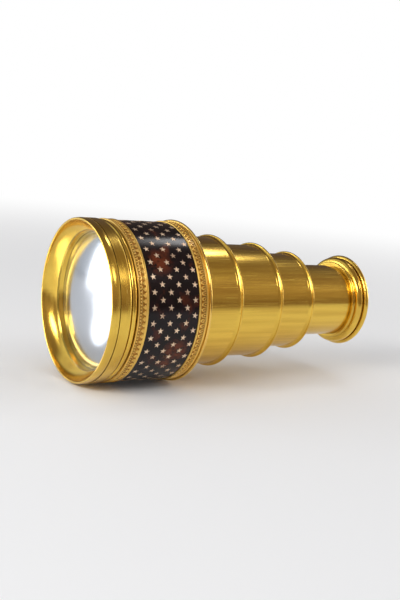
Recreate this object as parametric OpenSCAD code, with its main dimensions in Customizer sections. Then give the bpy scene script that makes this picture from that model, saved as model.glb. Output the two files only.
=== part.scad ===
// Pocket spyglass with four brass draws and a shell-covered barrel inlaid with stars.
// The optical axis is the X axis, and the eyepiece is at the +X end.
// The origin is on the axis, in the middle of the bezel's plain band, which a cap pushes onto.
// Every outline is drawn as [distance from the axis, distance behind the front rim].

/* [Front bezel] */
// Outside radius of the front bezel, which the radii of the barrel and draws follow
bezel_r = 30; // [28:0.25:34]
// Length of the front bezel along the axis
bezel_len = 7.7; // [7.2:0.1:9]
// Length of the bowed front band of the bezel
lip_band_len = 3; // [2.4:0.1:3.6]
// How far the front band bows out between its edges
lip_bow = 0.15; // [0.1:0.05:0.3]
// Thickness of the bezel's front edge
lip_edge = 1; // [0.9:0.1:1.3]
// Radius of the rounding on both sides of the front edge
lip_round = 0.3; // [0.2:0.05:0.35]
// Radius of the rounded shoulder behind the bezel's plain band
shoulder_round = 1.1; // [0.8:0.1:1.3]
// Width of the funnel's ring, from the bezel's outside to the funnel's bottom
funnel_w = 4.3; // [3.8:0.1:5]
// Depth of the funnel
funnel_depth = 4.8; // [4.2:0.1:5.4]
// How far the funnel's curve hollows below its chord
funnel_hollow = 0.6; // [0.3:0.1:1]
// Length of the plain land behind the funnel
funnel_land = 0.8; // [0.5:0.1:1]
// Depth of the fine lines that part the bands
line_depth = 0.25; // [0.15:0.05:0.35]
// Width of the fine lines that part the bands
line_w = 0.2; // [0.15:0.05:0.3]

/* [Objective] */
// How far the cell's sloped lip stands in from the funnel's bottom
cell_lip = 0.8; // [0.6:0.1:1.2]
// Width of the seat that holds the lenses from the front
lens_seat = 0.9; // [0.6:0.1:1.2]
// Wall of the cell's front neck, which screws into the bezel
cell_neck_wall = 0.9; // [0.7:0.1:1.1]
// Depth of the glass edge below the front rim
glass_depth = 7.5; // [7:0.1:8.5]
// Front curve radius of the crown lens
crown_front_curve = 66; // [58:1:120]
// Curve radius of the surfaces where the two lenses meet
crown_back_curve = 130; // [115:5:300]
// Thickness of the crown lens at its edge
crown_edge = 1; // [0.8:0.1:1.4]
// Thickness of the flint lens at its middle
flint_middle = 1.3; // [1:0.1:1.6]
// Air gap between the two lenses
lens_air = 0.05; // [0.02:0.01:0.1]
// Length of the half-round moulding behind the bezel
cell_bead_len = 2.1; // [1.7:0.1:2.5]
// How far the half-round moulding lies below the bezel's outside
cell_bead_inset = 0.25; // [0.05:0.05:0.5]
// Length of the ring that holds the lenses in
lens_ring_len = 1.6; // [1.2:0.1:1.8]
// Radial thickness of the ring that holds the lenses in
lens_ring_wall = 1.4; // [1:0.1:1.8]
// How far the cell's spigot reaches past the ring that holds the lenses in
cell_spigot_lead = 0.35; // [0.2:0.05:0.5]

/* [Barrel] */
// Gap that shows between the cell and the barrel
joint_gap = 0.2; // [0.1:0.05:0.4]
// How far the shell cover lies below the bezel's outside
shell_inset = 0.4; // [0.2:0.05:0.6]
// Thickness of the shell cover
shell_wall = 1.4; // [1:0.05:1.8]
// Wall of the barrel tube
barrel_wall = 0.8; // [0.6:0.05:1]
// Length of the shell cover
shell_len = 20.5; // [20:0.1:26]
// Length of the front ornament ring
front_ring_len = 4; // [3.4:0.05:5]
// Length of the rear ornament ring without its bead
rear_ring_len = 4.1; // [3.4:0.1:6]
// Width of the rear ring's half-round bead
rear_bead_w = 1; // [0.8:0.05:1.4]
// Height of the rear ring's bead above the shell
rear_bead_rise = 1; // [0.7:0.1:1.4]
// Height of the ornament rings' plain edges above the shell
ring_edge_rise = 0.4; // [0.25:0.05:0.7]
// Height of the ornament rings' chased bands above the shell
ring_band_rise = 0.15; // [0.05:0.05:0.25]
// Width of the ornament rings' plain edges
ring_edge_w = 0.6; // [0.4:0.05:0.8]
// Width of the front ring's row of beads
bead_row_w = 0.8; // [0.6:0.05:1]

/* [Stars] */
// Radius of a star's points
star_r = 1.2; // [0.8:0.05:1.3]
// Radius of the notches between a star's points
star_notch_r = 0.46; // [0.4:0.02:0.6]
// Number of stars in a row along the barrel
star_columns = 3; // [2:1:3]
// Distance between star rows round the barrel
star_row_pitch = 2.72; // [2.6:0.02:3.6]
// Distance from the front ornament ring to the first star column
star_start = 2.4; // [1.8:0.1:3.2]
// Distance from the last star column to the rear ornament ring
star_end = 1.6; // [1.4:0.1:2.4]
// Depth to which the stars are pressed into the shell
star_depth = 0.3; // [0.2:0.05:0.6]
// How far the stars' flat tops stand above the shell
star_rise = 0.04; // [0.02:0.01:0.08]
// Largest turn of a hand-set star, in degrees
star_turn = 7; // [0:1:12]

/* [Draws] */
// Wall of the bush between the barrel tube and draw 1
guide_1_wall = 2.8; // [2.2:0.1:3.4]
// Wall of the bush between draw 1 and draw 2
guide_2_wall = 2; // [1.6:0.1:2.6]
// Wall of the bush between draw 2 and draw 3
guide_3_wall = 2.5; // [1.8:0.1:3]
// Wall of the bush between draw 3 and draw 4
guide_4_wall = 3.8; // [3:0.1:4.2]
// Wall of the draw tubes
draw_wall = 0.6; // [0.5:0.05:0.7]
// Length of draw 1 that shows, with its bead
draw_1_show = 17; // [15:0.1:17.4]
// Length of draw 2 that shows, with its bead
draw_2_show = 20.4; // [17:0.2:21]
// Length of draw 3 that shows, with its bead
draw_3_show = 17.6; // [16:0.2:19]
// Length of draw 4 that shows in front of the eyepiece
draw_4_show = 23.5; // [20:0.1:24.2]
// Width of the beads' rounded rims
bead_rim_w = 0.8; // [0.6:0.05:1.2]
// Height of the beads above their tubes
bead_rise = 1; // [0.8:0.05:1.2]
// Radius of the cove that leads from a tube up to its bead's rim
bead_cove_r = 1.4; // [1:0.1:1.8]
// Length of the guide bush at the rear end of the barrel and of each draw
guide_len = 6; // [5:0.1:6.4]
// Length of the stop ring on each draw's front end
stop_len = 1.5; // [1:0.1:2]
// Width of the saw cuts that let the guide bushes spring
guide_slit_w = 0.5; // [0.3:0.1:0.8]
// Length of the saw cuts in the guide bushes
guide_slit_len = 3.2; // [2:0.1:3.6]

/* [Eyepiece] */
// How far the eyepiece's rim stands out from draw 4
eye_rim_rise = 4.3; // [3.8:0.1:5]
// Width of the rim
eye_rim_w = 2.1; // [1.7:0.1:2.4]
// How far the torus moulding lies below the rim
eye_torus_inset = 0.9; // [0.7:0.1:1.2]
// Width of the torus moulding
eye_torus_w = 3.6; // [3.2:0.1:4]
// How far the rim laps over the torus moulding
eye_rim_lap = 0.3; // [0.1:0.05:0.4]
// Depth of the groove between the torus moulding and the rim
eye_groove_depth = 0.5; // [0.3:0.05:0.8]
// How far the thin step ring stands out from draw 4
eye_step_rise = 1.4; // [1.1:0.1:1.7]
// Width of the thin step ring
eye_step_w = 0.6; // [0.5:0.05:0.8]
// Length of the eyepiece's spigot inside draw 4
eye_spigot_len = 4; // [3:0.2:4.4]
// Wall of the eyepiece's spigot
eye_spigot_wall = 3.9; // [3:0.1:4.5]
// Wall of the eye lens cell
eye_cell_wall = 2.5; // [2:0.1:3]
// Radial width of the seats that hold the eye lens
eye_lens_seat = 0.9; // [0.6:0.1:1.2]
// How far the eye opening's edge stands in from the edge of the eye lens
eye_hole_lip = 2; // [1.2:0.1:2.8]
// Width of the flat round the eye opening
eye_flat_w = 1; // [0.6:0.1:1.4]
// Thickness of the plate round the eye opening
eye_plate = 1.1; // [0.9:0.05:1.3]
// Depth of the dished eye cup
eye_cup_depth = 1.4; // [1:0.1:1.6]
// How far the eye cup's curve hollows below its chord
eye_cup_hollow = 0.4; // [0.2:0.1:0.6]
// Thickness of the eye lens at its middle
eye_lens_middle = 1.2; // [1:0.1:1.6]
// Curve radius of both hollow faces of the eye lens
eye_lens_curve = 27.7; // [24:0.5:60]
// Length of the seat behind the eye lens
eye_seat_len = 1; // [0.8:0.1:1.3]
// Length of the ring that holds the eye lens
eye_ring_len = 1.5; // [1.2:0.1:1.8]
// Length of the cell in front of the ring that holds the eye lens
eye_cell_lead = 0.4; // [0.2:0.1:0.8]

/* [Fits] */
// Radial clearance between a draw and its guide bush
running_fit = 0.05; // [0.03:0.01:0.08]
// Radial clearance between a stop ring and the tube it runs in
stop_clear = 0.3; // [0.2:0.05:0.4]
// Gap that keeps a stop ring just off its guide bush when the draw is fully out
stop_touch = 0.1; // [0.05:0.05:0.2]
// Clearance between pieces that are pushed or burnished together
seat_fit = 0.03; // [0.02:0.01:0.05]
// Radial clearance of the cell's screw thread in the barrel
thread_fit = 0.1; // [0.05:0.01:0.15]
// Pitch of the screw threads, drawn as plain rings
thread_pitch = 0.8; // [0.6:0.05:1]
// Depth of the screw threads
thread_depth = 0.2; // [0.1:0.05:0.25]
// Width of the spanner slots in the lens rings
spanner_slot_w = 1.2; // [0.8:0.1:1.6]
// Depth of the spanner slots in the lens rings
spanner_slot_depth = 0.8; // [0.5:0.1:1]

/* [Hidden] */
$fn = 96;

// Radii that follow the bezel, from the outside in
shell_r = bezel_r - shell_inset;
ring_edge_r = shell_r + ring_edge_rise;
ring_band_r = shell_r + ring_band_rise;
rear_bead_r = shell_r + rear_bead_rise;
barrel_r = shell_r - shell_wall;
barrel_bore = barrel_r - barrel_wall;
funnel_r = bezel_r - funnel_w;
glass_r = funnel_r - cell_lip;
lens_r = glass_r + lens_seat;
lens_bore_r = lens_r + seat_fit;
bezel_thread_r = lens_r + cell_neck_wall;
cell_spigot_r = barrel_bore - thread_fit;
cell_bead_r = bezel_r - cell_bead_inset;

// Places in the bezel and the objective, behind the front rim
seat_x = lip_band_len + line_w;
shoulder_x = bezel_len - shoulder_round;
origin_x = (seat_x + shoulder_x) / 2;
land_x = funnel_depth + funnel_land;
crown_x = glass_depth;
meet_x = crown_x + crown_edge;
crown_bulge = sag(crown_front_curve, lens_r);
meet_bulge = sag(crown_back_curve, lens_r);
flint_back = meet_x + meet_bulge + lens_air + flint_middle;
lens_ring_x = flint_back + seat_fit;
lens_ring_end = lens_ring_x + lens_ring_len;
cell_bead_end = bezel_len + cell_bead_len;
cell_end = lens_ring_end + cell_spigot_lead;

// Places in the barrel
front_ring_x = cell_bead_end + joint_gap;
shell_x = front_ring_x + front_ring_len;
rear_ring_x = shell_x + shell_len;
rear_bead_x = rear_ring_x + rear_ring_len;
barrel_end = rear_bead_x + rear_bead_w;
tube_x = front_ring_x + front_ring_len / 2;

// Stars, whose columns alternate between two sets of rows
star_column_pitch = (shell_len - star_start - star_end) / (2 * star_columns - 1);

// Draws, each inside the bore of the one before it
guide_wall = [guide_1_wall, guide_2_wall, guide_3_wall, guide_4_wall];
draw_show = [draw_1_show, draw_2_show, draw_3_show, draw_4_show];
last_draw = len(guide_wall) - 1;
function draw_r(k) = outer_bore(k) - guide_wall[k];
function draw_bore(k) = draw_r(k) - draw_wall;
function outer_bore(k) = k == 0 ? barrel_bore : draw_bore(k - 1);
function guide_bore(k) = draw_r(k) + running_fit;
function guide_end(k) = k == 0 ? barrel_end : guide_end(k - 1) + draw_show[k - 1];
function stop_x(k) = guide_end(k) - guide_len - stop_touch - stop_len;
bead_cove_rise = bead_rise - bead_rim_w / 2;
bead_cove_len = sqrt(2 * bead_cove_r * bead_cove_rise - bead_cove_rise * bead_cove_rise);
bead_w = bead_rim_w + bead_cove_len;

// Radii of the eyepiece
eye_rim_r = draw_r(last_draw) + eye_rim_rise;
eye_torus_r = eye_rim_r - eye_torus_inset;
eye_torus_base = eye_torus_r - eye_torus_w / 2;
eye_step_r = draw_r(last_draw) + eye_step_rise;
eye_step_base = eye_step_r - eye_step_w / 2;
eye_cove_r = eye_torus_base - eye_step_base;
eye_cell_r = draw_bore(last_draw) - eye_spigot_wall;
eye_lens_r = eye_cell_r - eye_cell_wall;
eye_hole_r = eye_lens_r - eye_hole_lip;

// Places in the eyepiece
eye_x = guide_end(last_draw) + draw_4_show;
eye_cove_x = eye_x + eye_step_w;
eye_torus_x = eye_cove_x + eye_cove_r;
eye_rim_x = eye_torus_x + eye_torus_w - eye_rim_lap;
eye_end = eye_rim_x + eye_rim_w;
eye_dish_x = eye_end - eye_cup_depth;
eye_plate_x = eye_dish_x - eye_plate;
eye_hollow = sag(eye_lens_curve, eye_lens_r);
eye_lens_edge = eye_lens_middle + 2 * eye_hollow;
eye_lens_x = eye_plate_x - eye_seat_len - eye_lens_edge - seat_fit;
eye_ring_end = eye_lens_x - seat_fit;
eye_ring_x = eye_ring_end - eye_ring_len;
eye_cell_x = eye_ring_x - eye_cell_lead;

// How far a cut reaches past the surface that it is made in
cut_over = 0.1;
thread_half_w = 0.35 * thread_pitch;

brass = "goldenrod";
lacquered_brass = "darkgoldenrod";
shell_colour = [0.16, 0.07, 0.05];
glass_colour = [0.75, 0.85, 0.9, 0.5];

// Height of a curve of radius c over a half chord h
function sag(c, h) = c - sqrt(c * c - h * h);

// Centre of the arc of sagitta s over the chord from a to b, on the side that the chord turns left to
function arc_radius(a, b, s) = (norm(b - a) * norm(b - a) / 4 + s * s) / (2 * s);
function arc_centre(a, b, s) =
  (a + b) / 2 + (arc_radius(a, b, s) - s) * [a[1] - b[1], b[0] - a[0]] / norm(b - a);

// Moves what is drawn on +X to its place x behind the front rim
module behind_rim(x) {
  translate([x - origin_x, 0, 0])
    children();
}

// Turns an outline round the optical axis
module turned() {
  behind_rim(0)
    rotate([0, 90, 0])
      rotate_extrude()
        children();
}

// A ball of radius r centred on the axis at place x
module ball(r, x) {
  behind_rim(x)
    rotate([0, 90, 0])
      sphere(r = r, $fn = 256);
}

// A disc of radius r from place x0 to x1
module disc(r, x0, x1) {
  behind_rim(x0)
    rotate([0, 90, 0])
      cylinder(r = r, h = x1 - x0);
}

// A plain ring's outline, from radius r0 to r1 and from place x0 to x1
module band(r0, r1, x0, x1) {
  translate([r0, x0])
    square([r1 - r0, x1 - x0]);
}

// A band whose outside bows out by rise, to radius r1 at its middle
module bowed_band(r0, r1, x0, x1, rise) {
  bow = ((x1 - x0) * (x1 - x0) / 4 + rise * rise) / (2 * rise);
  intersection() {
    band(r0, r1, x0, x1);
    translate([r1 - bow, (x0 + x1) / 2])
      circle(r = bow, $fn = 256);
  }
}

// A ring whose outside is half round
module rounded_band(r0, r1, x0, x1) {
  half = (x1 - x0) / 2;
  band(r0, r1 - half, x0, x1);
  translate([r1 - half, x0 + half])
    circle(r = half, $fn = 48);
}

// Outline of the screw threads, cut as rings into a surface of radius r, facing out or in
module thread_cuts(r, x0, x1, facing) {
  for (x = [x0 + thread_pitch : thread_pitch : x1 - thread_pitch / 2])
    polygon([
      [r + facing * cut_over, x - thread_half_w],
      [r + facing * cut_over, x + thread_half_w],
      [r - facing * thread_depth, x]
    ]);
}

// Two saw cuts for a spanner across the front or rear face of a ring
module spanner_slots(r, x) {
  behind_rim(x)
    cube([2 * spanner_slot_depth, 3 * r, spanner_slot_w], center = true);
}

// Front ring with the wide hollow funnel in front of the glass
module objective_bezel() {
  funnel_out = [bezel_r - lip_edge, lip_round];
  funnel_in = [funnel_r, funnel_depth];
  core_r = bezel_r - 2 * line_depth;
  color(brass)
    turned()
      difference() {
        union() {
          band(funnel_r, core_r, lip_round, shoulder_x);
          lip_outline();
          bowed_band(funnel_r, bezel_r, lip_round, lip_band_len, lip_bow);
          band(funnel_r, bezel_r, seat_x, shoulder_x);
          band(funnel_r, bezel_r - shoulder_round, seat_x, bezel_len);
          translate([bezel_r - shoulder_round, shoulder_x])
            circle(r = shoulder_round, $fn = 96);
        }
        translate(arc_centre(funnel_out, funnel_in, funnel_hollow))
          circle(r = arc_radius(funnel_out, funnel_in, funnel_hollow), $fn = 256);
        band(funnel_r - cut_over, bezel_thread_r, land_x, bezel_len + cut_over);
        thread_cuts(bezel_thread_r, land_x, bezel_len, -1);
      }
}

// Front edge of the bezel, flat where the instrument stands on it
module lip_outline() {
  inner = bezel_r - lip_edge + lip_round;
  outer = bezel_r - lip_bow - lip_round;
  band(inner, outer, 0, 2 * lip_round);
  band(inner - lip_round, outer + lip_round, lip_round, 2 * lip_round);
  for (r = [inner, outer])
    translate([r, lip_round])
      circle(r = lip_round, $fn = 48);
}

// Cell that holds the two lenses, with its threaded spigot for the barrel
module objective_cell() {
  neck_r = bezel_thread_r - seat_fit;
  color(brass)
    turned()
      difference() {
        union() {
          polygon([
            [glass_r, crown_x - seat_fit],
            [funnel_r, land_x + seat_fit],
            [neck_r, land_x + seat_fit],
            [neck_r, bezel_len],
            [cell_spigot_r, bezel_len],
            [cell_spigot_r, cell_end],
            [lens_bore_r, cell_end],
            [lens_bore_r, crown_x - seat_fit]
          ]);
          rounded_band(neck_r, cell_bead_r, bezel_len, cell_bead_end);
        }
        intersection() {
          band(0, lens_bore_r, 0, meet_x);
          translate([0, crown_x - crown_bulge + crown_front_curve])
            circle(r = crown_front_curve + seat_fit, $fn = 256);
        }
        thread_cuts(cell_spigot_r, front_ring_x, cell_end, 1);
        thread_cuts(neck_r, land_x, bezel_len, 1);
      }
}

// Bulging front lens of the objective
module crown_lens() {
  color(glass_colour)
    intersection() {
      ball(crown_front_curve, crown_x - crown_bulge + crown_front_curve);
      ball(crown_back_curve, meet_x + meet_bulge - crown_back_curve);
      disc(lens_r, crown_x - 2 * crown_bulge, meet_x + 2 * meet_bulge);
    }
}

// Rear lens of the objective, hollow in front and flat behind
module flint_lens() {
  color(glass_colour)
    difference() {
      disc(lens_r, meet_x + lens_air, flint_back);
      ball(crown_back_curve, meet_x + lens_air + meet_bulge - crown_back_curve);
    }
}

// Threaded ring that holds both lenses against the cell's lip
module lens_retaining_ring() {
  color(lacquered_brass)
    difference() {
      turned()
        band(lens_r - lens_ring_wall, lens_r, lens_ring_x, lens_ring_end);
      spanner_slots(lens_r, lens_ring_end);
    }
}

// Brass tube under the shell cover
module barrel_tube() {
  color(brass)
    turned()
      band(barrel_bore, barrel_r, tube_x, rear_bead_x);
}

// Ring with a row of beads and a chased band, which the cell screws into
module front_ornament_ring() {
  edge_x = shell_x - ring_edge_w;
  row_x = front_ring_x + ring_edge_w / 2;
  color(brass)
    turned()
      difference() {
        union() {
          band(barrel_bore, ring_band_r, front_ring_x, shell_x);
          band(barrel_bore, ring_edge_r, front_ring_x, row_x);
          rounded_band(barrel_bore, ring_edge_r, row_x, row_x + bead_row_w);
          rounded_band(barrel_bore, ring_edge_r, edge_x, shell_x);
        }
        band(0, barrel_r + seat_fit, tube_x, shell_x + cut_over);
      }
}

// Polished shell wrapped round the barrel tube
module shell_cover() {
  color(shell_colour)
    turned()
      band(barrel_r + seat_fit, shell_r, shell_x, rear_ring_x);
}

// Rows of stars pressed into the shell, staggered from row to row
module star_inlays() {
  pairs = floor(PI * shell_r / star_row_pitch);
  rows = 2 * pairs;
  row_scatter = 97;
  column_scatter = 205;
  color("tan")
    for (row = [0 : rows - 1]) {
      first = shell_x + star_start + (row % 2) * star_column_pitch;
      for (column = [0 : star_columns - 1])
        rotate([360 * row / rows, 0, 0])
          behind_rim(first + 2 * column * star_column_pitch)
            translate([0, 0, shell_r - star_depth])
              rotate([0, 0, 90 + star_turn * sin(row * row_scatter + column * column_scatter)])
                linear_extrude(star_depth + star_rise)
                  star_outline();
    }
}

module star_outline() {
  points = 5;
  polygon([
    for (i = [0 : 2 * points - 1])
      let (r = i % 2 == 0 ? star_r : star_notch_r, a = 180 * i / points)
        [r * cos(a), r * sin(a)]
  ]);
}

// Ring with a chased band and a half-round bead at the barrel's rear end
module rear_ornament_ring() {
  groove_x = rear_bead_x - line_w;
  color(brass)
    turned()
      difference() {
        union() {
          band(barrel_r + seat_fit, ring_band_r, rear_ring_x, rear_bead_x + rear_bead_w / 2);
          rounded_band(barrel_r + seat_fit, ring_edge_r, rear_ring_x, rear_ring_x + ring_edge_w);
          rounded_band(barrel_r + seat_fit, rear_bead_r, rear_bead_x, barrel_end);
        }
        band(ring_band_r - line_depth, ring_band_r + cut_over, groove_x, rear_bead_x);
      }
}

// Saws a guide bush through in eight places, so that its front end grips the draw
module sawn_bush(k) {
  slit_x = guide_end(k) - guide_len - cut_over;
  reach = 2 * (barrel_r + cut_over);
  difference() {
    children();
    for (turn = [0 : 45 : 135])
      rotate([turn, 0, 0])
        behind_rim(slit_x)
          translate([0, -reach / 2, -guide_slit_w / 2])
            cube([guide_slit_len + cut_over, reach, guide_slit_w]);
  }
}

// Collar in the barrel's rear end that guides draw 1
module barrel_guide_collar() {
  color(lacquered_brass)
    sawn_bush(0)
      turned() {
        band(guide_bore(0), barrel_bore - seat_fit, barrel_end - guide_len, barrel_end);
        band(guide_bore(0), barrel_r, rear_bead_x + seat_fit, barrel_end);
      }
}

// Tube of draw k, from its stop ring to its bead, or to the eyepiece on the last draw
module draw_tube(k) {
  rear = k == last_draw ? eye_x : guide_end(k + 1) - bead_w;
  color(brass)
    turned()
      band(draw_bore(k), draw_r(k), stop_x(k), rear);
}

// Bead on the rear end of draw k, with the bush that guides the next draw
module draw_bead(k) {
  rear = guide_end(k + 1);
  rim_x = rear - bead_rim_w;
  bore = guide_bore(k + 1);
  color(brass)
    sawn_bush(k + 1)
      turned() {
        difference() {
          band(bore, draw_r(k) + bead_cove_rise, rear - bead_w, rim_x);
          translate([draw_r(k) + bead_cove_r, rear - bead_w])
            circle(r = bead_cove_r, $fn = 96);
        }
        rounded_band(bore, draw_r(k) + bead_rise, rim_x, rear);
        band(bore, draw_bore(k) - seat_fit, rear - guide_len, rim_x);
      }
}

// Ring on the front end of draw k, which stops it in its guide bush and keeps it central
module stop_ring(k) {
  color(lacquered_brass)
    turned()
      band(draw_r(k) + seat_fit, outer_bore(k) - stop_clear, stop_x(k), stop_x(k) + stop_len);
}

// Flared end of the instrument, with its step ring, cove, torus moulding, rim and eye cup
module eyepiece_flange() {
  bore = eye_cell_r + seat_fit;
  spigot_r = draw_bore(last_draw) - seat_fit;
  spigot_x = eye_x - eye_spigot_len;
  dish_in = [eye_hole_r + eye_flat_w, eye_dish_x];
  dish_out = [eye_rim_r - eye_rim_w / 2, eye_end];
  color(brass)
    turned()
      difference() {
        union() {
          band(bore, spigot_r, spigot_x, eye_x);
          rounded_band(bore, eye_step_r, eye_x, eye_cove_x);
          difference() {
            band(bore, eye_torus_base, eye_cove_x, eye_rim_x);
            translate([eye_torus_base, eye_cove_x])
              circle(r = eye_cove_r, $fn = 96);
          }
          rounded_band(bore, eye_torus_r, eye_torus_x, eye_torus_x + eye_torus_w);
          band(bore, eye_torus_r - eye_groove_depth, eye_torus_x + eye_torus_w / 2, eye_rim_x);
          rounded_band(bore, eye_rim_r, eye_rim_x, eye_end);
          band(eye_hole_r, bore, eye_plate_x, eye_end);
        }
        polygon([
          dish_in,
          [eye_hole_r - cut_over, eye_dish_x],
          [eye_hole_r - cut_over, eye_end + cut_over],
          [dish_out[0], eye_end + cut_over],
          dish_out
        ]);
        translate(arc_centre(dish_in, dish_out, eye_cup_hollow))
          circle(r = arc_radius(dish_in, dish_out, eye_cup_hollow), $fn = 256);
        thread_cuts(spigot_r, spigot_x, eye_x, 1);
      }
}

// Cell that carries the eye lens inside the eyepiece
module eye_lens_cell() {
  rear = eye_plate_x - seat_fit;
  color(lacquered_brass)
    turned()
      difference() {
        union() {
          band(eye_lens_r + seat_fit, eye_cell_r, eye_cell_x, rear);
          band(eye_lens_r - eye_lens_seat, eye_cell_r, eye_plate_x - eye_seat_len, rear);
        }
        thread_cuts(eye_cell_r, eye_cell_x, eye_plate_x, 1);
      }
}

// Hollow-faced eye lens
module eye_lens() {
  color(glass_colour)
    difference() {
      disc(eye_lens_r, eye_lens_x, eye_lens_x + eye_lens_edge);
      ball(eye_lens_curve, eye_lens_x + eye_hollow - eye_lens_curve);
      ball(eye_lens_curve, eye_lens_x + eye_hollow + eye_lens_middle + eye_lens_curve);
    }
}

// Threaded ring that holds the eye lens in its cell
module eye_lens_ring() {
  color(lacquered_brass)
    difference() {
      turned()
        band(eye_lens_r - eye_lens_seat, eye_lens_r, eye_ring_x, eye_ring_end);
      spanner_slots(eye_lens_r, eye_ring_x);
    }
}

objective_bezel();
objective_cell();
crown_lens();
flint_lens();
lens_retaining_ring();
barrel_tube();
front_ornament_ring();
shell_cover();
star_inlays();
rear_ornament_ring();
barrel_guide_collar();
draw_tube(0);  // draw_tube_1
draw_tube(1);  // draw_tube_2
draw_tube(2);  // draw_tube_3
draw_tube(3);  // draw_tube_4
draw_bead(0);  // draw_bead_1
draw_bead(1);  // draw_bead_2
draw_bead(2);  // draw_bead_3
stop_ring(0);  // stop_ring_1
stop_ring(1);  // stop_ring_2
stop_ring(2);  // stop_ring_3
stop_ring(3);  // stop_ring_4
eyepiece_flange();
eye_lens_cell();
eye_lens();
eye_lens_ring();
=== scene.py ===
"""Pocket spyglass in gilt brass, with a shell-covered barrel inlaid with stars."""

import math

import bpy
from mathutils import Matrix, Vector


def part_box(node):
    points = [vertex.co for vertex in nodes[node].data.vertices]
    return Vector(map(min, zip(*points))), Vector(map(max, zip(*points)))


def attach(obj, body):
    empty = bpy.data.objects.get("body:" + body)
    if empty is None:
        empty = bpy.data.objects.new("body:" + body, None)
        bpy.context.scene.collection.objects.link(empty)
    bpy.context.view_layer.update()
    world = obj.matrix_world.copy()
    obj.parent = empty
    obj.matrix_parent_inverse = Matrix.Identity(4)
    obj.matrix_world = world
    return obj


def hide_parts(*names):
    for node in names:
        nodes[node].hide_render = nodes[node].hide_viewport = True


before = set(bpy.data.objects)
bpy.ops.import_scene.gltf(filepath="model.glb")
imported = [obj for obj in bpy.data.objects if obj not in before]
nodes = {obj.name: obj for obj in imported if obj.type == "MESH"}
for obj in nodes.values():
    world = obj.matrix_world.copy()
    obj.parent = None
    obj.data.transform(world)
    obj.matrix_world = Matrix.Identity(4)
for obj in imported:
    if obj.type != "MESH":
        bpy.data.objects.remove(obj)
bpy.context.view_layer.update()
bpy.ops.object.select_all(action="DESELECT")

MM = 0.001
# The frame's origin lies this far behind the front rim, and places along the axis are given behind the rim
ORIGIN = 4.9
FLOOR_Z = -30.6 * MM


def place(behind_rim):
    """X of a place along the optical axis, in metres."""
    return (behind_rim - ORIGIN) * MM


# Camera and studio

# Degrees by which the optical axis turns away from the picture's plane and falls in it, and by which the
# camera stands above the axis
AXIS_TURN = 32.63
AXIS_FALL = -0.22
CAMERA_ABOVE = 10.7
# Middle of the front rim seen from the camera: to the right, down and away, in millimetres
RIM_FROM_CAMERA = (-45.16, 0.19, 344.5)
# Height of the film and length of the lens, in millimetres
FILM = 36
FOCAL_LENGTH = 57.6

# Points on the axis that the softboxes face
AT_RIM = (place(3), 0, 0)
AT_SHELL = (place(25), 0, 0)
AT_EYEPIECE = (place(120), 0, 0)
# Name, place, what it faces, width, height, radiance and shape of each softbox
SOFTBOXES = (
    ("top_softbox", (0.40, 0.13, 0.60), AT_SHELL, 0.08, 0.15, 7.0, "ELLIPSE"),
    ("left_softbox", (-0.64, 0.50, 0.10), AT_RIM, 0.50, 0.26, 5.0, "RECTANGLE"),
    ("front_softbox", (-0.88, -0.33, 0.55), AT_RIM, 0.75, 0.30, 9.0, "ELLIPSE"),
    ("eyepiece_softbox", (0.87, -1.70, 1.66), AT_EYEPIECE, 0.40, 0.7, 5.0, "ELLIPSE"),
    ("bead_softbox", (1.0, -0.25, 0.30), AT_SHELL, 0.26, 0.5, 5.0, "ELLIPSE"),
)
# Name, place, length towards the objective and width of each light panel that lies on the floor
FLOOR_GLOWS = (
    ("near_glow", (-0.104, 0.057, FLOOR_Z + MM), 0.19, 0.043),
    ("middle_glow", (-0.157, 0.088, FLOOR_Z + MM * 0.75), 0.17, 0.066),
    ("far_glow", (-0.325, 0.192, FLOOR_Z + MM / 2), 0.46, 0.15),
)
GLOW_RADIANCE = 1.5
# Sine of the slope past which a softbox counts as overhead
OVERHEAD = 0.7

WHITE = (1.0, 1.0, 1.0)
# Colours of the room that the polished pieces mirror, and of the light that matt ones get from it
ROOM_LOW = (0.22, 0.165, 0.14)
ROOM_HIGH = (0.36, 0.28, 0.24)
ROOM_CEILING = (0.24, 0.19, 0.16)
ROOM_BACK = (0.11, 0.085, 0.075)
PALE_WALL = (0.66, 0.68, 0.71)
SOFT_LIGHT = (0.48, 0.48, 0.49)
# Ranges of a direction's X, Y or Z over which one part of that room goes into the next
LOW_TO_HIGH = (0.0, 0.35)
HIGH_TO_CEILING = (0.5, 0.9)
FRONT_TO_BACK = (-0.2, 0.5)
PALE_ALONG_X = (-0.05, -0.3)
PALE_ALONG_Y = (0.0, 0.4)
WHITE_ALONG_X = (0.68, 0.82)

FLOOR_PAPER = (0.9, 0.9, 0.9)
DARK_FLOOR = (0.24, 0.18, 0.15)
FLOOR_SIZE = 6
# Distances from the origin between which the floor fades to white
FADE_START = 0.16
FADE_END = 1.0
# Places along Y between which the mirrored floor turns dark
DARK_START = -0.22
DARK_END = -0.5


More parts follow.
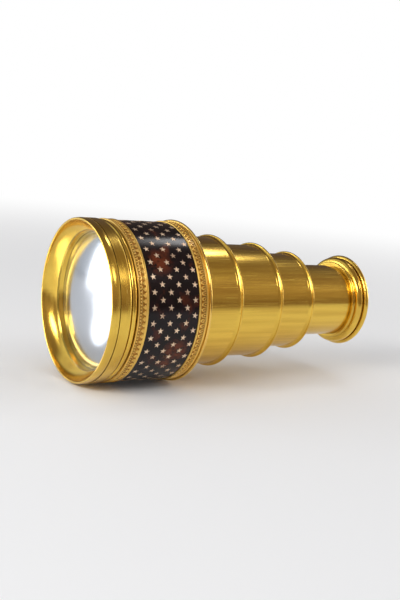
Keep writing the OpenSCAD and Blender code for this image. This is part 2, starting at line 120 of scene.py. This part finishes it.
def set_camera():
    """The photograph's angle: from the front left and a little above, with the front rim nearest."""
    turn, fall, above = (math.radians(angle) for angle in (AXIS_TURN, AXIS_FALL, CAMERA_ABOVE))
    axis = Vector((math.cos(turn) * math.cos(fall), math.sin(fall), math.sin(turn) * math.cos(fall)))
    away = (Vector((0, 0, 1)) - axis * axis.z).normalized()
    up = axis.cross(away)
    row_z = up * math.cos(above) - away * math.sin(above)
    to_row = Matrix((axis, row_z.cross(axis), row_z))
    eye = Vector((place(0), 0, 0)) - to_row @ (Vector(RIM_FROM_CAMERA) * MM)
    sides = [to_row @ Vector(v) for v in ((1, 0, 0), (0, -1, 0), (0, 0, -1))]
    data = bpy.data.cameras.new("photo_camera")
    data.sensor_fit = "VERTICAL"
    data.sensor_width = FILM
    data.sensor_height = FILM
    data.lens = FOCAL_LENGTH
    data.clip_start = 0.01
    data.clip_end = 20
    camera = bpy.data.objects.new("photo_camera", data)
    bpy.context.scene.collection.objects.link(camera)
    camera.matrix_world = Matrix.Translation(eye) @ Matrix(sides).transposed().to_4x4()
    bpy.context.scene.camera = camera


def softbox(name, spot, target, width, height, radiance, shape):
    """A studio softbox that faces the target. Its height lies along the world's up, or along +Y when it is
    overhead."""
    data = bpy.data.lights.new(name, "AREA")
    data.shape = shape
    data.size = width
    data.size_y = height
    data.energy = radiance * math.pi * width * height
    lamp = bpy.data.objects.new(name, data)
    bpy.context.scene.collection.objects.link(lamp)
    back = (Vector(spot) - Vector(target)).normalized()
    up = Vector((0, 0, 1)) if abs(back.z) < OVERHEAD else Vector((0, 1, 0))
    side = up.cross(back).normalized()
    turned = Matrix((side, back.cross(side), back)).transposed().to_4x4()
    lamp.matrix_world = Matrix.Translation(spot) @ turned
    lamp.visible_camera = False
    return lamp


def floor_glow(name, spot, length, width):
    """A light panel that lies on the floor in line with the objective, for the glass to mirror."""
    panel = softbox(name, spot, (0, 0, 0), length, width, GLOW_RADIANCE, "ELLIPSE")
    in_line = Matrix.Rotation(math.atan2(spot[1], spot[0]), 4, "Z")
    panel.matrix_world = Matrix.Translation(spot) @ in_line @ Matrix.Rotation(math.pi, 4, "X")


def smooth_step(tree, value, lo, hi, to_lo=0.0, to_hi=1.0):
    """Maps a value smoothly from one range to another."""
    node = tree.nodes.new("ShaderNodeMapRange")
    node.interpolation_type = "SMOOTHSTEP"
    for socket, number in (("From Min", lo), ("From Max", hi), ("To Min", to_lo), ("To Max", to_hi)):
        node.inputs[socket].default_value = number
    tree.links.new(value, node.inputs["Value"])
    return node.outputs[0]


def mix(tree, factor, a, b):
    """Mixes two colours, each a colour or a socket."""
    node = tree.nodes.new("ShaderNodeMix")
    node.data_type = "RGBA"
    tree.links.new(factor, node.inputs["Factor"])
    for socket, colour in (("A", a), ("B", b)):
        if isinstance(colour, tuple):
            node.inputs[socket].default_value = colour + (1,)
        else:
            tree.links.new(colour, node.inputs[socket])
    return node.outputs["Result"]


def combine(tree, operation, a, b):
    """One sum on two values, each a number or a socket."""
    node = tree.nodes.new("ShaderNodeMath")
    node.operation = operation
    for socket, value in zip(node.inputs, (a, b)):
        if isinstance(value, float):
            socket.default_value = value
        else:
            tree.links.new(value, socket)
    return node.outputs[0]


def split_axes(tree, vector):
    """The X, Y and Z of a vector, each a socket."""
    node = tree.nodes.new("ShaderNodeSeparateXYZ")
    tree.links.new(vector, node.inputs[0])
    return node.outputs


def set_world():
    """White to the eye; in reflections a dim warm room, darker behind and overhead, with a white wall beyond
    the eyepiece and a pale one in front of the objective."""
    world = bpy.data.worlds.new("studio")
    bpy.context.scene.world = world
    world.use_nodes = True
    tree = world.node_tree
    paths = tree.nodes.new("ShaderNodeLightPath")
    coords = tree.nodes.new("ShaderNodeTexCoord")
    way = split_axes(tree, coords.outputs["Generated"])
    room = mix(tree, smooth_step(tree, way["Z"], *LOW_TO_HIGH), ROOM_LOW, ROOM_HIGH)
    room = mix(tree, smooth_step(tree, way["Z"], *HIGH_TO_CEILING), room, ROOM_CEILING)
    room = mix(tree, smooth_step(tree, way["Y"], *FRONT_TO_BACK), room, ROOM_BACK)
    pale = combine(tree, "MULTIPLY", smooth_step(tree, way["X"], *PALE_ALONG_X),
                   smooth_step(tree, way["Y"], *PALE_ALONG_Y))
    room = mix(tree, pale, room, PALE_WALL)
    room = mix(tree, smooth_step(tree, way["X"], *WHITE_ALONG_X), room, WHITE)
    lit = mix(tree, paths.outputs["Is Glossy Ray"], SOFT_LIGHT, room)
    seen = combine(tree, "MAXIMUM", paths.outputs["Is Camera Ray"], paths.outputs["Is Transmission Ray"])
    tree.links.new(mix(tree, seen, lit, WHITE), tree.nodes["Background"].inputs["Color"])


def set_floor():
    """Pale paper that turns white far away, and that the brass mirrors as dark beyond its near side."""
    bpy.ops.mesh.primitive_plane_add(size=FLOOR_SIZE, location=(0, 0, FLOOR_Z))
    floor = bpy.context.object
    floor.name = "floor"
    paper = bpy.data.materials.new("floor_paper")
    paper.use_nodes = True
    tree = paper.node_tree
    surface = tree.nodes["Principled BSDF"]
    surface.inputs["Base Color"].default_value = FLOOR_PAPER + (1,)
    surface.inputs["Roughness"].default_value = 0.8
    coords = tree.nodes.new("ShaderNodeTexCoord").outputs["Object"]
    length = tree.nodes.new("ShaderNodeVectorMath")
    length.operation = "LENGTH"
    tree.links.new(coords, length.inputs[0])
    paths = tree.nodes.new("ShaderNodeLightPath")
    white = combine(tree, "MULTIPLY", smooth_step(tree, length.outputs["Value"], FADE_START, FADE_END),
                    paths.outputs["Is Camera Ray"])
    dark = combine(tree, "MULTIPLY", smooth_step(tree, split_axes(tree, coords)["Y"], DARK_START, DARK_END),
                   paths.outputs["Is Glossy Ray"])
    result = surface.outputs[0]
    for share, colour in ((white, WHITE), (dark, DARK_FLOOR)):
        glow = tree.nodes.new("ShaderNodeEmission")
        glow.inputs["Color"].default_value = colour + (1,)
        blend = tree.nodes.new("ShaderNodeMixShader")
        tree.links.new(share, blend.inputs[0])
        tree.links.new(result, blend.inputs[1])
        tree.links.new(glow.outputs[0], blend.inputs[2])
        result = blend.outputs[0]
    tree.links.new(result, tree.nodes["Material Output"].inputs["Surface"])
    floor.data.materials.append(paper)


def set_lamps():
    """The softboxes and floor panels, placed by what they light up in the brass, the shell and the glass."""
    for lamp in SOFTBOXES:
        softbox(*lamp)
    for panel in FLOOR_GLOWS:
        floor_glow(*panel)


# Finishes

GOLD = (0.86, 0.57, 0.085)
OLD_GOLD = (0.72, 0.44, 0.06)
# Brown that darkens the crevices: partly tarnish, partly painted shade
CREVICE_TARNISH_AND_SHADE = (0.10, 0.045, 0.014)
SHELL_BLACK = (0.004, 0.002, 0.002)
SHELL_BROWN = (0.010, 0.004, 0.005)
SHELL_RED = (0.12, 0.024, 0.007)
# Middle and reach, in metres, of the two large red clouds on the near side
SHELL_CLOUDS = (((place(20), -0.0235, 0.0180), 0.0065), ((place(28), -0.0262, -0.0137), 0.0070))
STAR_BRIGHT = (0.95, 0.75, 0.54)
STAR_WORN = (0.78, 0.54, 0.36)
STAR_DULL = (0.40, 0.25, 0.17)
GLASS = (0.62, 0.66, 0.72)
GLASS_IOR = 1.52
CHASED_RAISED = (0.88, 0.57, 0.13)
CHASED_GROUND = (0.46, 0.215, 0.037)
# Darkest brown of the chased work's pits: tarnish and painted shade
PIT_TARNISH_AND_SHADE = (0.22, 0.09, 0.02)
# Start and end, behind the rim, of the chased work on the two rings
CHASED_BANDS = ((10.45, 13.1), (35.1, 37.55))
# Radii at which the chased work's ground ends and its raised gilding starts
GROUND_UP_TO = 29.63
RAISED_FROM = 29.78
# Radii between which the matt chased rings turn into the polished bead
MATT_UP_TO = 30.0
POLISHED_FROM = 30.2
# Part of the noise's range over which one tone goes into another
TONE_LOW = 0.35
TONE_HIGH = 0.7
# Heights, in metres, of the brushed lines on the brass and of the punched grain on the chased rings
LINE_HEIGHT = 0.000005
PUNCH_HEIGHT = 0.000012


def finish(name):
    """A new node material, and the parts of it that every finish needs."""
    material = bpy.data.materials.new(name)
    material.use_nodes = True
    tree = material.node_tree
    coords = tree.nodes.new("ShaderNodeTexCoord")
    return material, tree, tree.nodes["Principled BSDF"], coords.outputs["Object"]


def grain(tree, coords, stretch, detail=3.0):
    """Noise that is stretched along the object's axes; stretch gives the lines per metre along X, Y and Z."""
    mapping = tree.nodes.new("ShaderNodeMapping")
    mapping.inputs["Scale"].default_value = stretch
    noise = tree.nodes.new("ShaderNodeTexNoise")
    noise.inputs["Scale"].default_value = 1.0
    noise.inputs["Detail"].default_value = detail
    tree.links.new(coords, mapping.inputs["Vector"])
    tree.links.new(mapping.outputs[0], noise.inputs["Vector"])
    return noise.outputs["Fac"]


def tarnish_and_painted_shade(tree, reach):
    """1 in the crevices narrower than reach, 0 on open surfaces: the mask for tarnish and painted shade in
    the hollows.
    """
    hollow = tree.nodes.new("ShaderNodeAmbientOcclusion")
    hollow.samples = 6
    hollow.inputs["Distance"].default_value = reach
    return smooth_step(tree, hollow.outputs["AO"], 0.75, 0.3)


def bump(tree, surface, height, distance):
    """Adds a fine relief of that height to the surface."""
    node = tree.nodes.new("ShaderNodeBump")
    node.inputs["Distance"].default_value = distance
    tree.links.new(height, node.inputs["Height"])
    tree.links.new(node.outputs[0], surface.inputs["Normal"])


def lacquer(surface, weight, roughness):
    """A clear coat over the surface."""
    surface.inputs["Coat Weight"].default_value = weight
    surface.inputs["Coat Roughness"].default_value = roughness


def brass_finish(name, polish, brushing, patches=(90, 90, 90), tarnish_and_shade_reach=0.0008):
    """Gilt brass under lacquer: patches or streaks of older gilding, tarnish and painted shade in the
    crevices, fine lines.
    """
    material, tree, surface, coords = finish(name)
    tone = mix(tree, smooth_step(tree, grain(tree, coords, patches), TONE_LOW, TONE_HIGH), GOLD, OLD_GOLD)
    # Darkens the crevices towards brown: tarnish and painted shade
    colour = mix(tree, tarnish_and_painted_shade(tree, tarnish_and_shade_reach), tone, CREVICE_TARNISH_AND_SHADE)
    tree.links.new(colour, surface.inputs["Base Color"])
    surface.inputs["Metallic"].default_value = 1.0
    lacquer(surface, 0.35, 0.2)
    lines = grain(tree, coords, brushing, 2.0)
    roughness = smooth_step(tree, lines, 0.2, 0.8, polish * 0.7, polish * 1.35)
    tree.links.new(roughness, surface.inputs["Roughness"])
    bump(tree, surface, lines, LINE_HEIGHT)
    return material


def shell_finish():
    """Tortoiseshell: near black with red-brown clouds deep under a clear polish."""
    material, tree, surface, coords = finish("tortoiseshell")
    clouds = grain(tree, coords, (95, 75, 75), 4.0)
    small = grain(tree, coords, (420, 420, 420), 3.0)
    dark = mix(tree, smooth_step(tree, small, TONE_LOW, TONE_HIGH), SHELL_BLACK, SHELL_BROWN)
    cloudy = smooth_step(tree, clouds, 0.55, 0.70)
    for centre, reach in SHELL_CLOUDS:
        away = tree.nodes.new("ShaderNodeVectorMath")
        away.operation = "DISTANCE"
        tree.links.new(coords, away.inputs[0])
        away.inputs[1].default_value = centre
        near = smooth_step(tree, away.outputs["Value"], reach, reach * 0.2)
        mottled = combine(tree, "MULTIPLY", near, smooth_step(tree, small, 0.3, 0.55))
        cloudy = combine(tree, "MAXIMUM", cloudy, mottled)
    tree.links.new(mix(tree, cloudy, dark, SHELL_RED), surface.inputs["Base Color"])
    surface.inputs["Roughness"].default_value = 0.22
    surface.inputs["Specular IOR Level"].default_value = 0.1
    lacquer(surface, 0.35, 0.16)
    return material


def star_finish():
    """Pale pinkish gold of the inlaid stars: some worn, some dull."""
    material, tree, surface, coords = finish("star_gold")
    worn = smooth_step(tree, grain(tree, coords, (700, 700, 700)), TONE_LOW, TONE_HIGH)
    dull = smooth_step(tree, grain(tree, coords, (210, 210, 210), 1.0), 0.55, 0.72)
    colour = mix(tree, dull, mix(tree, worn, STAR_BRIGHT, STAR_WORN), STAR_DULL)
    tree.links.new(colour, surface.inputs["Base Color"])
    surface.inputs["Metallic"].default_value = 0.75
    surface.inputs["Roughness"].default_value = 0.38
    return material


def glass_finish(name, mirror=0.0, front_end=0.0):
    """Clear polished glass with a faint veil. With a mirror, its faces in front of a place throw back that
    part of the studio's light."""
    material, tree, surface, coords = finish(name)
    surface.inputs["Base Color"].default_value = GLASS + (1,)
    surface.inputs["Transmission Weight"].default_value = 1.0
    surface.inputs["IOR"].default_value = GLASS_IOR
    veil = grain(tree, coords, (60, 60, 25), 2.0)
    tree.links.new(smooth_step(tree, veil, 0.3, 0.7, 0.17, 0.21), surface.inputs["Roughness"])
    if mirror:
        front = combine(tree, "LESS_THAN", split_axes(tree, coords)["X"], front_end)
        tree.links.new(combine(tree, "MULTIPLY", front, mirror), surface.inputs["Metallic"])
    return material


def distance_from_axis(tree, sides):
    """How far a point lies from the optical axis, from its split X, Y and Z."""
    across = tree.nodes.new("ShaderNodeCombineXYZ")
    radius = tree.nodes.new("ShaderNodeVectorMath")
    radius.operation = "LENGTH"
    for axis in ("Y", "Z"):
        tree.links.new(sides[axis], across.inputs[axis])
    tree.links.new(across.outputs[0], radius.inputs[0])
    return radius.outputs["Value"]


def chased_finish():
    """Chased gilding: bright on the raised work, bronze in the ground between, darkest in the pits, where
    tarnish and painted shade darken it.
    """
    material, tree, surface, coords = finish("chased_brass")
    sides = split_axes(tree, coords)
    radius = distance_from_axis(tree, sides)
    bands = [combine(tree, "MULTIPLY", combine(tree, "GREATER_THAN", sides["X"], place(start)),
                     combine(tree, "LESS_THAN", sides["X"], place(end))) for start, end in CHASED_BANDS]
    ground = combine(tree, "MULTIPLY", combine(tree, "MAXIMUM", *bands),
                     smooth_step(tree, radius, RAISED_FROM * MM, GROUND_UP_TO * MM))
    gilding = mix(tree, ground, CHASED_RAISED, CHASED_GROUND)
    # Darkens the pits of the chased work: tarnish and painted shade
    tree.links.new(mix(tree, tarnish_and_painted_shade(tree, 0.0004), gilding, PIT_TARNISH_AND_SHADE), surface.inputs["Base Color"])
    surface.inputs["Metallic"].default_value = 1.0
    lacquer(surface, 0.3, 0.12)
    roughness = smooth_step(tree, radius, MATT_UP_TO * MM, POLISHED_FROM * MM, 0.40, 0.13)
    tree.links.new(roughness, surface.inputs["Roughness"])
    bump(tree, surface, grain(tree, coords, (3200, 3200, 3200)), PUNCH_HEIGHT)
    return material


# Chased rings and front lens, with their sizes in millimetres

# Radii of the rings' outer edge, and of the sunk ground that the relief stands on
RING_EDGE = 30.0
RING_GROUND = 29.6
RING_SIDES = 192
# How deep the foot of a raised piece lies in the ground
FOOT = 0.05
PEARLS = 170
TONGUES = 90
SCALLOPS = 96
# Half the thickness of a scallop's wall, where its middle line has a radius of 1
SCALLOP_WALL = 0.3
# Middle along the axis, half length, foot radius and rise of the rear ring's bead
BEAD_MIDDLE = 39.07
BEAD_HALF = 0.53
BEAD_FOOT = 29.95
BEAD_RISE = 0.65
BEAD_STEPS = 12
# Edges between faces that meet at more than this angle stay sharp
SHARP_ANGLE = math.radians(40)
# Radius of the front lens's domed face, and length of its ground edge
LENS_CURVE = 66.0
LENS_EDGE = 1.0
LENS_STEPS = 14
LENS_SIDES = 96
# Radius of the small flat in the middle of each face
LENS_POLE = 0.05
# How strongly the front lens mirrors, and how far behind the rim it does
MIRROR = 0.78
MIRROR_END = 7.6


def turned_ring(name, outline, sides, closed=True):
    """Turns an outline of (place behind the rim, radius) points, in millimetres, round the optical axis. One
    that isn't closed is filled at its ends."""
    start_x, start_r = outline[0]
    bpy.ops.mesh.primitive_circle_add(vertices=sides, radius=start_r * MM, location=(place(start_x), 0, 0),
                                      rotation=(0, math.pi / 2, 0))
    ring = apply_place(name)
    bpy.ops.object.mode_set(mode="EDIT")
    bpy.ops.mesh.select_all(action="SELECT")
    for (x0, r0), (x1, r1) in zip(outline, outline[1:] + outline[:1] if closed else outline[1:]):
        bpy.ops.mesh.extrude_edges_move(TRANSFORM_OT_translate={"value": ((x1 - x0) * MM, 0, 0)})
        bpy.ops.transform.resize(value=(1, r1 / r0, r1 / r0), center_override=(place(x1), 0, 0))
    bpy.ops.mesh.select_all(action="SELECT")
    bpy.ops.mesh.remove_doubles(threshold=0.000001)
    bpy.ops.mesh.fill_holes(sides=0)
    bpy.ops.mesh.normals_make_consistent(inside=False)
    bpy.ops.object.mode_set(mode="OBJECT")
    return ring


def apply_place(name):
    """Puts the active object's place, turn and scale into its mesh, and names it."""
    piece = bpy.context.object
    piece.name = name
    bpy.ops.object.transform_apply(location=True, rotation=True, scale=True)
    return piece


def cut_away(piece, point, kept_side):
    """Cuts a piece through a point, keeps what lies on one side, and closes the cut."""
    bpy.ops.object.mode_set(mode="EDIT")
    bpy.ops.mesh.select_all(action="SELECT")
    bpy.ops.mesh.bisect(plane_co=point, plane_no=kept_side, use_fill=True, clear_inner=True)
    bpy.ops.object.mode_set(mode="OBJECT")
    return piece


def narrow_end(piece, x, width):
    """Narrows the end of a piece that lies in front of a place."""
    bpy.ops.object.mode_set(mode="EDIT")
    bpy.ops.mesh.select_mode(type="VERT")
    bpy.ops.mesh.select_all(action="DESELECT")
    bpy.ops.object.mode_set(mode="OBJECT")
    for vertex in piece.data.vertices:
        vertex.select = vertex.co.x < place(x)
    bpy.ops.object.mode_set(mode="EDIT")
    bpy.ops.transform.resize(value=(1, width, 1), center_override=(0, 0, 0))
    bpy.ops.object.mode_set(mode="OBJECT")
    return piece


def boss(name, x, radius, length, width, rise, sides=8):
    """A raised oval on the ring at its top, with its middle at that radius."""
    bpy.ops.mesh.primitive_uv_sphere_add(segments=sides, ring_count=6, radius=1,
                                         location=(place(x), 0, radius * MM),
                                         rotation=(0, 0, math.pi / sides),
                                         scale=(length * MM / 2, width * MM / 2, rise * MM))
    return cut_away(apply_place(name), (0, 0, (radius - FOOT) * MM), (0, 0, 1))


def scallop(name, x, radius, length, width, rise):
    """A raised U on the ring at its top, round towards the front and open towards the eyepiece."""
    bpy.ops.mesh.primitive_torus_add(major_segments=16, minor_segments=6, major_radius=1.0,
                                     minor_radius=SCALLOP_WALL, location=(place(x), 0, radius * MM))
    outer = 1 + SCALLOP_WALL
    bpy.context.object.scale = (length * MM, width * MM / (2 * outer), rise * MM / SCALLOP_WALL)
    piece = cut_away(apply_place(name), (0, 0, (radius - FOOT) * MM), (0, 0, 1))
    return cut_away(piece, (place(x), 0, 0), (-1, 0, 0))


def repeat_round(piece, count):
    """Copies a piece evenly round the optical axis."""
    bpy.ops.object.select_all(action="DESELECT")
    piece.select_set(True)
    bpy.context.view_layer.objects.active = piece
    bpy.ops.object.mode_set(mode="EDIT")
    bpy.ops.mesh.select_all(action="SELECT")
    bpy.ops.mesh.spin(steps=count - 1, dupli=True, angle=2 * math.pi * (count - 1) / count,
                      center=(0, 0, 0), axis=(1, 0, 0))
    bpy.ops.object.mode_set(mode="OBJECT")
    return piece


def join_pieces(name, pieces):
    """Joins pieces into one, smoothly shaded but for its sharp edges."""
    bpy.ops.object.select_all(action="DESELECT")
    for piece in pieces:
        piece.select_set(True)
    bpy.context.view_layer.objects.active = pieces[0]
    bpy.ops.object.join()
    whole = bpy.context.object
    whole.name = name
    bpy.ops.object.shade_smooth_by_angle(angle=SHARP_ANGLE)
    bpy.ops.object.select_all(action="DESELECT")
    return whole


def finish_ring(name, pieces, material, node):
    """Joins a ring's pieces and puts it in the CAD ring's place."""
    ring = join_pieces(name, pieces)
    ring.data.materials.append(material)
    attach(ring, "barrel")
    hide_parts(node)


def make_front_ring(material):
    """Front ornament ring: plain edge, a row of pearls, pointed tongues, and a punched plain band."""
    ring = turned_ring("front_ring_base", [
        (10.0, 27.4), (10.0, 29.85), (10.1, 29.98), (10.2, RING_EDGE), (10.42, RING_EDGE), (10.5, 29.85),
        (10.52, RING_GROUND), (11.42, RING_GROUND), (11.44, 29.75), (11.5, 29.8), (11.56, 29.75),
        (11.58, RING_GROUND), (13.0, RING_GROUND), (13.05, 29.85), (13.15, 29.95), (13.7, RING_EDGE),
        (13.9, 29.95), (14.0, 29.8), (14.0, 28.25), (12.0, 28.25), (12.0, 27.4)], RING_SIDES)
    pearl = boss("front_pearls", 10.96, RING_GROUND, length=0.84, width=0.84, rise=0.4)
    tongue = boss("front_tongues", 12.5, RING_GROUND, length=1.7, width=1.98, rise=0.34, sides=12)
    # Two steps bring the tongue's front end to a point
    tongue = narrow_end(narrow_end(tongue, 12.45, 0.6), 12.0, 0.5)
    rib = boss("front_ribs", 12.3, 29.84, length=1.2, width=0.3, rise=0.12)
    relief = [repeat_round(pearl, PEARLS), repeat_round(tongue, TONGUES), repeat_round(rib, TONGUES)]
    finish_ring("front_ring_chased", [ring] + relief, material, "front_ornament_ring")


def make_rear_ring(material):
    """Rear ornament ring: plain edge, a row of scallops with a rib in each, a strip, and a round bead."""
    bead = [(BEAD_MIDDLE - BEAD_HALF * math.cos(turn), BEAD_FOOT + BEAD_RISE * math.sin(turn))
            for turn in (step * math.pi / BEAD_STEPS for step in range(BEAD_STEPS + 1))]
    ring = turned_ring("rear_ring_base", [
        (34.5, 28.23), (34.5, 29.85), (34.6, 29.98), (34.7, RING_EDGE), (35.05, RING_EDGE), (35.14, 29.88),
        (35.16, RING_GROUND), (37.45, RING_GROUND), (37.48, 29.78), (37.56, 29.84), (38.4, 29.84),
        (38.48, 29.78), (38.5, RING_GROUND)] + bead + [(39.6, 28.23)], RING_SIDES)
    wall = scallop("rear_scallops", 37.3, RING_GROUND, length=1.6, width=1.96, rise=0.34)
    rib = boss("rear_ribs", 37.0, RING_GROUND, length=1.0, width=0.5, rise=0.3)
    relief = [repeat_round(wall, SCALLOPS), repeat_round(rib, SCALLOPS)]
    finish_ring("rear_ring_chased", [ring] + relief, material, "rear_ornament_ring")


def dome(radius):
    """How far the front lens's domed face has fallen back at a radius."""
    return LENS_CURVE - math.sqrt(LENS_CURVE ** 2 - radius ** 2)


def make_front_lens(material):
    """Front lens of the objective: two domed faces and a ground edge, as large as the CAD lens."""
    low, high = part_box("crown_lens")
    front, back, edge = low[0] / MM + ORIGIN, high[0] / MM + ORIGIN, high[2] / MM
    edge_front = front + dome(edge)
    edge_back = edge_front + LENS_EDGE
    steps = [edge * i / LENS_STEPS for i in range(1, LENS_STEPS + 1)]
    bulge = (back - edge_back) / edge ** 2
    outline = ([(front, LENS_POLE)] + [(front + dome(r), r) for r in steps]
               + [(edge_back + bulge * (edge ** 2 - r ** 2), r) for r in reversed(steps)]
               + [(back, LENS_POLE)])
    turned = turned_ring("front_lens_base", outline, LENS_SIDES, closed=False)
    lens = join_pieces("objective_front_lens", [turned])
    lens.data.materials.append(material)
    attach(lens, "barrel")
    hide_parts("crown_lens")


def dress(material, *names):
    """Gives CAD nodes their finish."""
    for name in names:
        slots = nodes[name].data.materials
        slots.clear()
        slots.append(material)


set_camera()
set_world()
set_floor()
set_lamps()

turned_brass = brass_finish("turned_brass", 0.21, (900, 90, 90))
brushed_brass = brass_finish("brushed_brass", 0.21, (60, 2600, 2600), (14, 420, 420), 0.0013)
inner_brass = brass_finish("inner_brass", 0.35, (900, 90, 90))
dress(turned_brass, "objective_bezel", "objective_cell", "barrel_tube", "draw_bead_1", "draw_bead_2",
      "draw_bead_3", "eyepiece_flange")
dress(brushed_brass, "draw_tube_1", "draw_tube_2", "draw_tube_3", "draw_tube_4")
dress(inner_brass, "lens_retaining_ring", "barrel_guide_collar", "stop_ring_1", "stop_ring_2",
      "stop_ring_3", "stop_ring_4", "eye_lens_cell", "eye_lens_ring")
dress(shell_finish(), "shell_cover")
dress(star_finish(), "star_inlays")
dress(glass_finish("inner_glass"), "flint_lens", "eye_lens")

make_front_lens(glass_finish("objective_glass", MIRROR, place(MIRROR_END)))
chased_brass = chased_finish()
make_front_ring(chased_brass)
make_rear_ring(chased_brass)

bpy.context.scene.view_settings.view_transform = "Standard"
